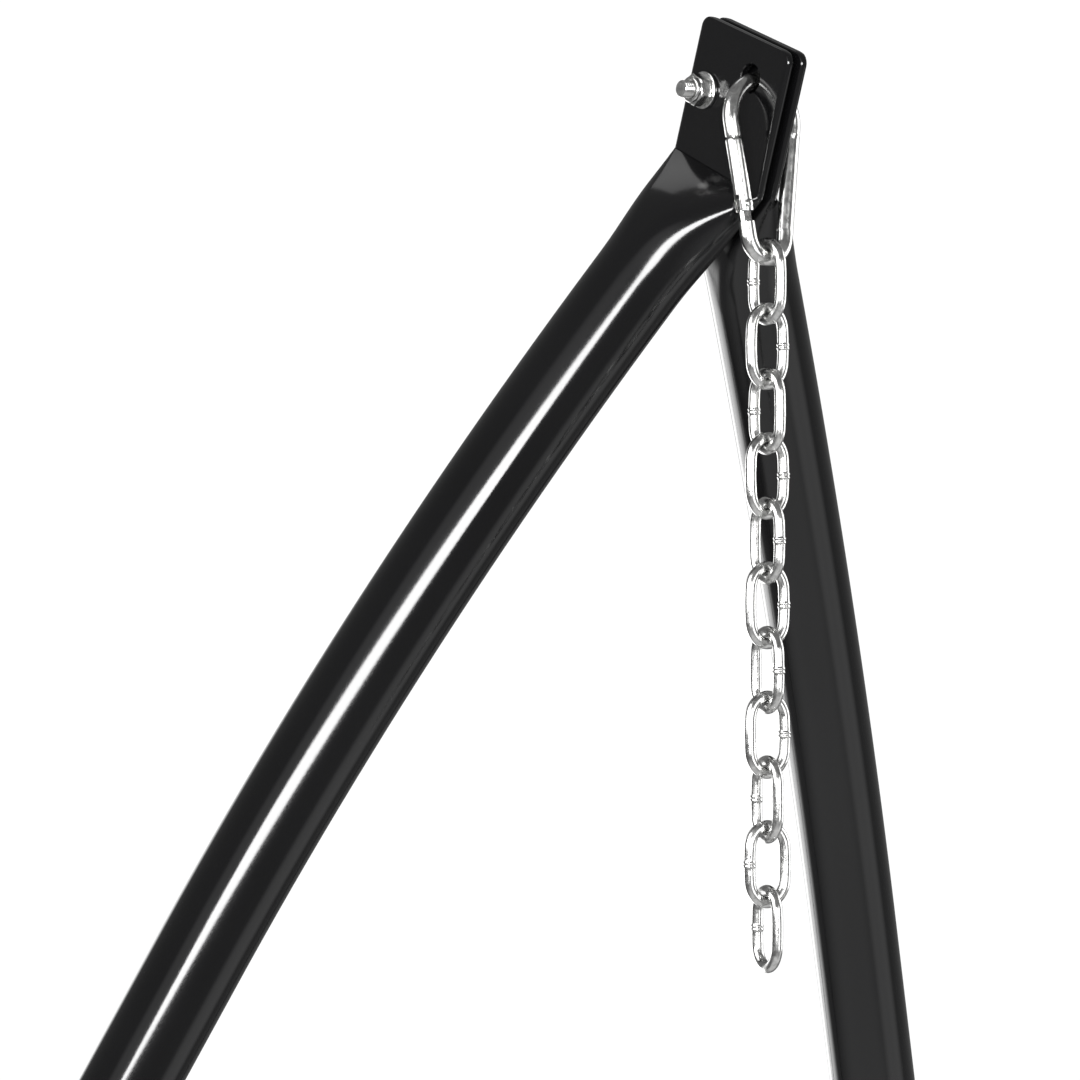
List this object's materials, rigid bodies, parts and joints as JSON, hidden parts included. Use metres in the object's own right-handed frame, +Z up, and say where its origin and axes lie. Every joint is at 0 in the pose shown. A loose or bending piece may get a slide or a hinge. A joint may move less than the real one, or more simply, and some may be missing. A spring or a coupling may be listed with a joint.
{
  "type": "hammock on stand",
  "caption": "Free-standing black steel hammock stand with bowed leg pairs bolted at pressed ends, and a snap hook and chain hanging at each end.",
  "frame": {"origin": "on the floor at the middle of the stand", "axes": "+X along the stand towards the head end, +Y across it to the right of someone facing the head end's hook from outside, +Z up"},
  "size_m": [2.8114, 1.0542, 1.138],
  "materials": {
    "black_coat": "gloss",
    "bright_zinc": "bright zinc plate",
    "rubber_feet": "satin"
  },
  "bodies": {
    "frame": {"head_leg_right": "black_coat", "head_leg_left": "black_coat", "head_apex_bolt": "bright_zinc", "head_apex_spacer": "bright_zinc", "head_apex_washer": "bright_zinc", "head_apex_lock_nut": "bright_zinc", "foot_leg_left": "black_coat", "foot_leg_right": "black_coat", "foot_apex_bolt": "bright_zinc", "foot_apex_spacer": "bright_zinc", "foot_apex_washer": "bright_zinc", "foot_apex_lock_nut": "bright_zinc", "foot_sleeve_screw_left": "bright_zinc", "foot_crossbar_bolt_left": "bright_zinc", "foot_crossbar_nut_left": "bright_zinc", "foot_foot_left": "rubber_feet", "head_sleeve_screw_left": "bright_zinc", "head_crossbar_bolt_left": "bright_zinc", "head_crossbar_nut_left": "bright_zinc", "head_foot_left": "rubber_feet", "side_rail_left": "black_coat", "foot_sleeve_screw_right": "bright_zinc", "foot_crossbar_bolt_right": "bright_zinc", "foot_crossbar_nut_right": "bright_zinc", "foot_foot_right": "rubber_feet", "head_sleeve_screw_right": "bright_zinc", "head_crossbar_bolt_right": "bright_zinc", "head_crossbar_nut_right": "bright_zinc", "head_foot_right": "rubber_feet", "side_rail_right": "black_coat", "head_crossbar": "black_coat", "foot_crossbar": "black_coat"},
    "head_hook": {"head_hook_body": "bright_zinc", "head_hook_rivet": "bright_zinc"},
    "head_gate": {"head_hook_gate": "bright_zinc"},
    "head_link_01": {"head_chain_link_01": "bright_zinc"},
    "head_link_02": {"head_chain_link_02": "bright_zinc"},
    "head_link_03": {"head_chain_link_03": "bright_zinc"},
    "head_link_04": {"head_chain_link_04": "bright_zinc"},
    "head_link_05": {"head_chain_link_05": "bright_zinc"},
    "head_link_06": {"head_chain_link_06": "bright_zinc"},
    "head_link_07": {"head_chain_link_07": "bright_zinc"},
    "head_link_08": {"head_chain_link_08": "bright_zinc"},
    "head_link_09": {"head_chain_link_09": "bright_zinc"},
    "head_link_10": {"head_chain_link_10": "bright_zinc"},
    "head_link_11": {"head_chain_link_11": "bright_zinc"},
    "foot_hook": {"foot_hook_body": "bright_zinc", "foot_hook_rivet": "bright_zinc"},
    "foot_gate": {"foot_hook_gate": "bright_zinc"},
    "foot_link_01": {"foot_chain_link_01": "bright_zinc"},
    "foot_link_02": {"foot_chain_link_02": "bright_zinc"},
    "foot_link_03": {"foot_chain_link_03": "bright_zinc"},
    "foot_link_04": {"foot_chain_link_04": "bright_zinc"},
    "foot_link_05": {"foot_chain_link_05": "bright_zinc"},
    "foot_link_06": {"foot_chain_link_06": "bright_zinc"},
    "foot_link_07": {"foot_chain_link_07": "bright_zinc"},
    "foot_link_08": {"foot_chain_link_08": "bright_zinc"},
    "foot_link_09": {"foot_chain_link_09": "bright_zinc"},
    "foot_link_10": {"foot_chain_link_10": "bright_zinc"},
    "foot_link_11": {"foot_chain_link_11": "bright_zinc"}
  },
  "joints": [
    {"name": "head_hook_swing", "type": "hinge", "parent": "frame", "child": "head_hook", "pos_m": [1.38, 0, 1.108], "axis": [0, -1, 0], "range_deg": [0, 75]},
    {"name": "head_gate_hinge", "type": "hinge", "parent": "head_hook", "child": "head_gate", "pos_m": [1.38621, -0.015, 1.0514], "axis": [-0.9942, -0.0045, -0.1079], "range_deg": [0, 6], "stiffness_Nm_per_rad": 0.05, "springref_deg": -20.05},
    {"name": "head_link_01_swing", "type": "hinge", "parent": "head_hook", "child": "head_link_01", "pos_m": [1.38873, -0.00336, 1.02774], "axis": [0, -1, 0], "range_deg": [-40, 60]},
    {"name": "head_link_02_swing", "type": "hinge", "parent": "head_link_01", "child": "head_link_02", "pos_m": [1.38873, -0.00336, 1.00019], "axis": [1, 0, 0], "range_deg": [-40, 40]},
    {"name": "head_link_03_swing", "type": "hinge", "parent": "head_link_02", "child": "head_link_03", "pos_m": [1.38873, -0.00336, 0.97139], "axis": [0.0209, 0.9998, 0], "range_deg": [-40, 40]},
    {"name": "head_link_04_swing", "type": "hinge", "parent": "head_link_03", "child": "head_link_04", "pos_m": [1.38873, -0.00336, 0.94259], "axis": [-0.9991, 0.0419, 0], "range_deg": [-40, 40]},
    {"name": "head_link_05_swing", "type": "hinge", "parent": "head_link_04", "child": "head_link_05", "pos_m": [1.38873, -0.00336, 0.91379], "axis": [-0.0628, -0.998, 0], "range_deg": [-40, 40]},
    {"name": "head_link_06_swing", "type": "hinge", "parent": "head_link_05", "child": "head_link_06", "pos_m": [1.38873, -0.00336, 0.88499], "axis": [0.9965, -0.0837, 0], "range_deg": [-40, 40]},
    {"name": "head_link_07_swing", "type": "hinge", "parent": "head_link_06", "child": "head_link_07", "pos_m": [1.38873, -0.00336, 0.85619], "axis": [0.1045, 0.9945, 0], "range_deg": [-40, 40]},
    {"name": "head_link_08_swing", "type": "hinge", "parent": "head_link_07", "child": "head_link_08", "pos_m": [1.38873, -0.00336, 0.82739], "axis": [-0.9921, 0.1253, 0], "range_deg": [-40, 40]},
    {"name": "head_link_09_swing", "type": "hinge", "parent": "head_link_08", "child": "head_link_09", "pos_m": [1.38873, -0.00336, 0.79859], "axis": [-0.1461, -0.9893, 0], "range_deg": [-40, 40]},
    {"name": "head_link_10_swing", "type": "hinge", "parent": "head_link_09", "child": "head_link_10", "pos_m": [1.38873, -0.00336, 0.76979], "axis": [0.986, -0.1668, 0], "range_deg": [-40, 40]},
    {"name": "head_link_11_swing", "type": "hinge", "parent": "head_link_10", "child": "head_link_11", "pos_m": [1.38873, -0.00336, 0.74099], "axis": [0.1874, 0.9823, 0], "range_deg": [-40, 40]},
    {"name": "foot_hook_swing", "type": "hinge", "parent": "frame", "child": "foot_hook", "pos_m": [-1.38, 0, 1.108], "axis": [0, 1, 0], "range_deg": [0, 75]},
    {"name": "foot_gate_hinge", "type": "hinge", "parent": "foot_hook", "child": "foot_gate", "pos_m": [-1.38621, 0.015, 1.0514], "axis": [0.9942, 0.0045, -0.1079], "range_deg": [0, 6], "stiffness_Nm_per_rad": 0.05, "springref_deg": -20.05},
    {"name": "foot_link_01_swing", "type": "hinge", "parent": "foot_hook", "child": "foot_link_01", "pos_m": [-1.38873, 0.00336, 1.02774], "axis": [0, 1, 0], "range_deg": [-40, 60]},
    {"name": "foot_link_02_swing", "type": "hinge", "parent": "foot_link_01", "child": "foot_link_02", "pos_m": [-1.38873, 0.00336, 1.00019], "axis": [-1, 0, 0], "range_deg": [-40, 40]},
    {"name": "foot_link_03_swing", "type": "hinge", "parent": "foot_link_02", "child": "foot_link_03", "pos_m": [-1.38873, 0.00336, 0.97139], "axis": [-0.0209, -0.9998, 0], "range_deg": [-40, 40]},
    {"name": "foot_link_04_swing", "type": "hinge", "parent": "foot_link_03", "child": "foot_link_04", "pos_m": [-1.38873, 0.00336, 0.94259], "axis": [0.9991, -0.0419, 0], "range_deg": [-40, 40]},
    {"name": "foot_link_05_swing", "type": "hinge", "parent": "foot_link_04", "child": "foot_link_05", "pos_m": [-1.38873, 0.00336, 0.91379], "axis": [0.0628, 0.998, 0], "range_deg": [-40, 40]},
    {"name": "foot_link_06_swing", "type": "hinge", "parent": "foot_link_05", "child": "foot_link_06", "pos_m": [-1.38873, 0.00336, 0.88499], "axis": [-0.9965, 0.0837, 0], "range_deg": [-40, 40]},
    {"name": "foot_link_07_swing", "type": "hinge", "parent": "foot_link_06", "child": "foot_link_07", "pos_m": [-1.38873, 0.00336, 0.85619], "axis": [-0.1045, -0.9945, 0], "range_deg": [-40, 40]},
    {"name": "foot_link_08_swing", "type": "hinge", "parent": "foot_link_07", "child": "foot_link_08", "pos_m": [-1.38873, 0.00336, 0.82739], "axis": [0.9921, -0.1253, 0], "range_deg": [-40, 40]},
    {"name": "foot_link_09_swing", "type": "hinge", "parent": "foot_link_08", "child": "foot_link_09", "pos_m": [-1.38873, 0.00336, 0.79859], "axis": [0.1461, 0.9893, 0], "range_deg": [-40, 40]},
    {"name": "foot_link_10_swing", "type": "hinge", "parent": "foot_link_09", "child": "foot_link_10", "pos_m": [-1.38873, 0.00336, 0.76979], "axis": [-0.986, 0.1668, 0], "range_deg": [-40, 40]},
    {"name": "foot_link_11_swing", "type": "hinge", "parent": "foot_link_10", "child": "foot_link_11", "pos_m": [-1.38873, 0.00336, 0.74099], "axis": [-0.1874, -0.9823, 0], "range_deg": [-40, 40]}
  ]
}
